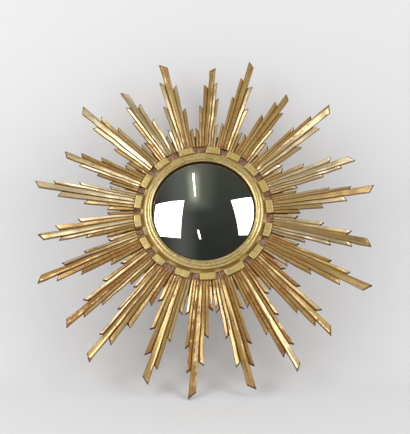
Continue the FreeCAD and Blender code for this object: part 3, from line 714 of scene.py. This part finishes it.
# The rims of the turned pieces and every sharp edge of the strap are taken off.
easing = dict(amounts=dict(back_board=0.0014, carrier_ring=0.0010, hanger_strap=0.00025),
              sharp=1.2, rimBand=0.0005, segments=2)
for node, amount in easing["amounts"].items():
    shape = benchCopy(node)
    rim = max(reachOf(vert.co) for vert in shape.verts) - easing["rimBand"]
    edges = [edge for edge in shape.edges if edge.calc_face_angle(0.0) > easing["sharp"]
             and (node == "hanger_strap" or innerReach(edge) > rim)]
    bmesh.ops.bevel(shape, geom=edges, offset=amount, affect="EDGES", segments=easing["segments"],
                    profile=0.5, material=-1, clamp_overlap=True)
    hang(shape, "eased_" + node, node)
print("back pieces made")

# The mirror leans back on a pale sweep. Up and towards are the sweep's own directions.
stand = dict(lean=25.0, wallGap=0.07, bend=0.31, bendSteps=36, reachFront=1.15, width=3.2, height=2.2,
             paper=(0.632, 0.632, 0.635), paperBlur=0.9)
lean = math.radians(stand["lean"])
upward = Vector((0, -math.sin(lean), math.cos(lean)))
toward = Vector((0, -math.cos(lean), -math.sin(lean)))
corners = [vertex.co for name in bundleNames for vertex in nodes[name].data.vertices]
floorLevel = min(corner.dot(upward) for corner in corners)
wallPlace = min(corner.dot(toward) for corner in corners) - stand["wallGap"]


# The paper is seen from its front only.
def sweepFinish():
    finish = Finish("sweepPaper")
    finish.paint(Base_Color=stand["paper"], Roughness=stand["paperBlur"])
    through = finish.add("ShaderNodeBsdfTransparent")
    behind = finish.add("ShaderNodeNewGeometry", out="Backfacing")
    paper = Wire(finish, finish.shader.outputs[0])
    seen = finish.add("ShaderNodeMixShader", None, {0: behind, 1: paper, 2: through})
    finish.tree.links.new(seen.socket, finish.tree.nodes["Material Output"].inputs["Surface"])
    return finish.material


def stageItem(shape, name, material):
    mesh = bpy.data.meshes.new(name)
    shape.to_mesh(mesh)
    shape.free()
    mesh.materials.append(material)
    item = bpy.data.objects.new(name, mesh)
    scene.collection.objects.link(item)
    item.visible_shadow = False
    return item


def makeSweep():
    shape = bmesh.new()
    start = toward * (wallPlace + stand["reachFront"]) + upward * floorLevel
    bendStart = toward * (wallPlace + stand["bend"]) + upward * floorLevel
    line = [shape.verts.new(start), shape.verts.new(bendStart)]
    shape.edges.new(line)
    pivot = bendStart + upward * stand["bend"]
    bmesh.ops.spin(shape, geom=[line[1]], cent=pivot, axis=(1, 0, 0), angle=math.pi / 2,
                   steps=stand["bendSteps"])
    last = max(shape.verts, key=lambda vert: vert.co.dot(upward))
    top = shape.verts.new(last.co + upward * stand["height"])
    shape.edges.new((last, top))
    swept = bmesh.ops.extrude_edge_only(shape, edges=shape.edges[:])["geom"]
    moved = [item for item in swept if isinstance(item, bmesh.types.BMVert)]
    bmesh.ops.translate(shape, verts=moved, vec=(stand["width"], 0, 0))
    bmesh.ops.translate(shape, verts=shape.verts, vec=(-stand["width"] / 2, 0, 0))
    for face in shape.faces:
        face.smooth = True
        if face.normal.dot(upward + toward) < 0:
            face.normal_flip()
    stageItem(shape, "sweep", sweepFinish())


makeSweep()
print("sweep made")

# The camera looks up at the mirror's face from below its middle.
shot = dict(below=17.0, distance=1.45, focal=767.0, middle=(203.6, 216.5), image=(410, 434), sensor=36.0)
below = math.radians(shot["below"])
camera = bpy.data.objects.new("camera", bpy.data.cameras.new("camera"))
scene.collection.objects.link(camera)
scene.camera = camera
camera.location = Vector((0, -math.cos(below), -math.sin(below))) * shot["distance"]
camera.rotation_euler = (math.pi / 2 + below, 0, 0)
camera.data.sensor_width = shot["sensor"]
camera.data.lens = shot["focal"] * shot["sensor"] / max(shot["image"])
camera.data.shift_x = (shot["image"][0] / 2 - shot["middle"][0]) / max(shot["image"])
camera.data.shift_y = (shot["middle"][1] - shot["image"][1] / 2) / max(shot["image"])

# Two soft boxes stand left and right of the camera in a dark studio with two strip lights.
lights = dict(
    boxes=dict(
        softBoxLeft=dict(width=0.98, height=1.02, turn=-36.8, rise=7.0, yaw=33.0, roll=-3.0, glow=4.2),
        softBoxRight=dict(width=0.66, height=1.06, turn=42.0, rise=10.3, yaw=0.0, roll=10.0, glow=4.6)),
    boxAway=1.75, ambient=0.85, back=0.76,
)


def softBox(name, box):
    lamp = bpy.data.lights.new(name, "AREA")
    lamp.shape = "RECTANGLE"
    lamp.size = box["width"]
    lamp.size_y = box["height"]
    lamp.energy = box["glow"] * math.pi * box["width"] * box["height"]
    item = bpy.data.objects.new(name, lamp)
    turn, rise, yaw, roll = (math.radians(box[key]) for key in ("turn", "rise", "yaw", "roll"))
    way = Vector((math.sin(turn) * math.cos(rise), -math.cos(turn) * math.cos(rise), math.sin(rise)))
    item.location = way * lights["boxAway"]
    own = Matrix.Rotation(yaw, 3, "Y") @ Matrix.Rotation(roll, 3, "Z")
    item.rotation_euler = (way.to_track_quat("Z", "Y").to_matrix() @ own).to_euler()
    item.visible_camera = False
    scene.collection.objects.link(item)


for name, box in lights["boxes"].items():
    softBox(name, box)


# Shows in the glass and the gilding, and lights nothing else.
def glossyOnly(item):
    item.visible_camera = False
    item.visible_diffuse = False
    item.visible_transmission = False


def glow(finish, colour, strength):
    finish.paint(Base_Color=(0.0, 0.0, 0.0), Emission_Color=colour, Emission_Strength=strength, Roughness=1.0,
                 Specular_IOR_Level=0.0)
    return finish.material


studio = dict(
    radius=3.2, opening=0.75, around=48, upwards=24, strength=1.0,
    low=(0.030, 0.032, 0.030), high=(0.060, 0.063, 0.052), lowest=-1.8, highest=3.0,
    clouds=dict(scale=1.1, detail=4.0, rough=0.55, warp=0.6), cloudHeight=2.2, hazeEdge=0.3,
    hazes=[dict(place=-1.15, width=1.1, foot=-3.4, top=3.4, colour=(0.105, 0.105, 0.10)),
           dict(place=-0.46, width=1.3, foot=0.9, top=3.4, colour=(0.15, 0.158, 0.128)),
           dict(place=-0.46, width=0.42, foot=1.3, top=2.6, colour=(0.44, 0.45, 0.37))],
)


# The studio's walls are painted glow, seen only in reflections: lighter upwards, and lighter beside the left
# soft box and round the long strip light.
def studioWalls():
    finish = Finish("darkStudio")
    x, z = finish.parts(finish.places)[::2]
    clouds = finish.noise(**studio["clouds"])
    height = finish.ramp(z + (clouds - 0.5) * studio["cloudHeight"], studio["lowest"], studio["highest"])
    walls = finish.mix(height, studio["low"], studio["high"])
    edge = studio["hazeEdge"]
    for haze in studio["hazes"]:
        beside = 1 - finish.ramp(abs(x - haze["place"]), 0.0, haze["width"])
        above = finish.ramp(z, haze["foot"] - edge, haze["foot"] + edge)
        under = 1 - finish.ramp(z, haze["top"] - edge, haze["top"] + edge)
        walls = finish.mix(beside * above * under, walls, haze["colour"])
    return glow(finish, walls, studio["strength"])


cave = bmesh.new()
bmesh.ops.create_uvsphere(cave, u_segments=studio["around"], v_segments=studio["upwards"],
                          radius=studio["radius"])
cutThrough(cave, (0, -studio["opening"], 0), (0, 1, 0), dropFar=True)
glossyOnly(stageItem(cave, "darkStudio", studioWalls()))

tubes = dict(ends=dict(longTube=((-0.333, -2.20, 1.235), (-0.248, -0.995, 1.38)),
                       shortTube=((-0.152, -1.6, -0.158), (-0.092, -1.6, -0.402))),
             radius=0.021, sides=16, strength=6.0, colour=(1.0, 1.0, 0.82))
tubeGlow = glow(Finish("tubeGlow"), tubes["colour"], tubes["strength"])
for name, ends in tubes["ends"].items():
    start, end = (Vector(place) for place in ends)
    tube = bmesh.new()
    bmesh.ops.create_cone(tube, cap_ends=True, segments=tubes["sides"], radius1=tubes["radius"],
                          radius2=tubes["radius"], depth=(end - start).length)
    turned = (end - start).to_track_quat("Z", "Y").to_matrix().to_4x4()
    bmesh.ops.transform(tube, matrix=Matrix.Translation((start + end) / 2) @ turned, verts=tube.verts)
    glossyOnly(stageItem(tube, name, tubeGlow))

# The air lights the mirror softly, and shows at its own level to the camera, metal and glass.
world = bpy.data.worlds.new("studioAir")
scene.world = world
world.use_nodes = True
air = world.node_tree
backdrop = air.nodes["Background"]
backdrop.inputs["Color"].default_value = (1.0, 1.0, 1.0, 1.0)
path = air.nodes.new("ShaderNodeLightPath")
seen = path.outputs["Is Camera Ray"]
for sight in ("Is Glossy Ray", "Is Transmission Ray"):
    either = air.nodes.new("ShaderNodeMath")
    either.operation = "MAXIMUM"
    air.links.new(seen, either.inputs[0])
    air.links.new(path.outputs[sight], either.inputs[1])
    seen = either.outputs[0]
pick = air.nodes.new("ShaderNodeMix")
pick.inputs[2].default_value = lights["ambient"]
pick.inputs[3].default_value = lights["back"]
air.links.new(seen, pick.inputs[0])
air.links.new(pick.outputs[0], backdrop.inputs["Strength"])
print("camera and lights set")
